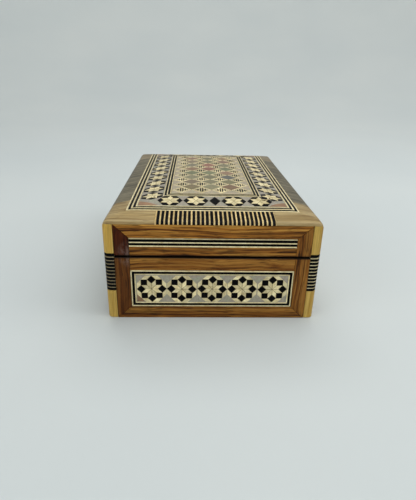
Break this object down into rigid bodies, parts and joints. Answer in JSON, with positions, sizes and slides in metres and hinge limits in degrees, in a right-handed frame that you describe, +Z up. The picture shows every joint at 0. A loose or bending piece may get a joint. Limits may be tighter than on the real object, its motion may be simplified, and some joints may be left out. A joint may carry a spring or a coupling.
{
  "type": "inlaid wooden box",
  "caption": "Small rectangular wooden box with a gently domed hinged lid, star and stringing inlay, light corner posts and a velvet lined inside for jewellery or keepsakes.",
  "frame": {"origin": "middle of the flat underside", "axes": "+Z up, +Y along the long side away from the end that faces the viewer, +X towards the hinged side"},
  "size_m": [0.0825, 0.123, 0.044],
  "materials": {
    "carcass_wood": "bare, sanded",
    "walnut_frame": "satin lacquer",
    "light_wood": "satin lacquer",
    "grey_wood": "satin lacquer",
    "striped_inlay": "satin lacquer over black and cream strips",
    "mosaic_inlay": "lacquered pearl, bone and wood mosaic",
    "red_velvet": "short pile",
    "hinge_brass": "polished, lightly aged"
  },
  "bodies": {
    "base": {"base_bottom_board": "carcass_wood", "base_frame_back": "walnut_frame", "base_frame_front": "walnut_frame", "base_frame_left": "walnut_frame", "base_frame_right": "walnut_frame", "base_lining": "red_velvet", "base_pad": "red_velvet", "base_post_back_left": "light_wood", "base_post_back_right": "light_wood", "base_post_front_left": "light_wood", "base_post_front_right": "light_wood", "base_star_panel_back": "mosaic_inlay", "base_star_panel_front": "mosaic_inlay", "base_star_panel_left": "mosaic_inlay", "base_star_panel_right": "mosaic_inlay", "base_stripes_back_left": "striped_inlay", "base_stripes_back_right": "striped_inlay", "base_stripes_front_left": "striped_inlay", "base_stripes_front_right": "striped_inlay", "base_wall_back": "carcass_wood", "base_wall_front": "carcass_wood", "base_wall_left": "carcass_wood", "base_wall_right": "carcass_wood", "hinge_base_leaf_back": "hinge_brass", "hinge_base_leaf_front": "hinge_brass", "hinge_pin_back": "hinge_brass", "hinge_pin_front": "hinge_brass"},
    "lid": {"hinge_lid_leaf_back": "hinge_brass", "hinge_lid_leaf_front": "hinge_brass", "lid_border_back_left": "light_wood", "lid_border_back_right": "light_wood", "lid_border_front_left": "light_wood", "lid_border_front_right": "light_wood", "lid_dark_border_left": "grey_wood", "lid_dark_border_right": "grey_wood", "lid_field_panel": "mosaic_inlay", "lid_frame_back": "walnut_frame", "lid_frame_front": "walnut_frame", "lid_frame_left": "walnut_frame", "lid_frame_right": "walnut_frame", "lid_inner_stringing": "striped_inlay", "lid_lining": "red_velvet", "lid_outer_stringing": "striped_inlay", "lid_pad": "red_velvet", "lid_post_back_left": "light_wood", "lid_post_back_right": "light_wood", "lid_post_front_left": "light_wood", "lid_post_front_right": "light_wood", "lid_star_band": "mosaic_inlay", "lid_stringing_back": "striped_inlay", "lid_stringing_front": "striped_inlay", "lid_stringing_left": "striped_inlay", "lid_stringing_right": "striped_inlay", "lid_stripes_back": "striped_inlay", "lid_stripes_front": "striped_inlay", "lid_top_board": "carcass_wood", "lid_wall_back": "carcass_wood", "lid_wall_front": "carcass_wood", "lid_wall_left": "carcass_wood", "lid_wall_right": "carcass_wood"}
  },
  "joints": [
    {"name": "lid_hinge", "type": "hinge", "parent": "base", "child": "lid", "pos_m": [0.0413, 0, 0.026], "axis": [0, 1, 0], "range_deg": [0, 100]}
  ]
}
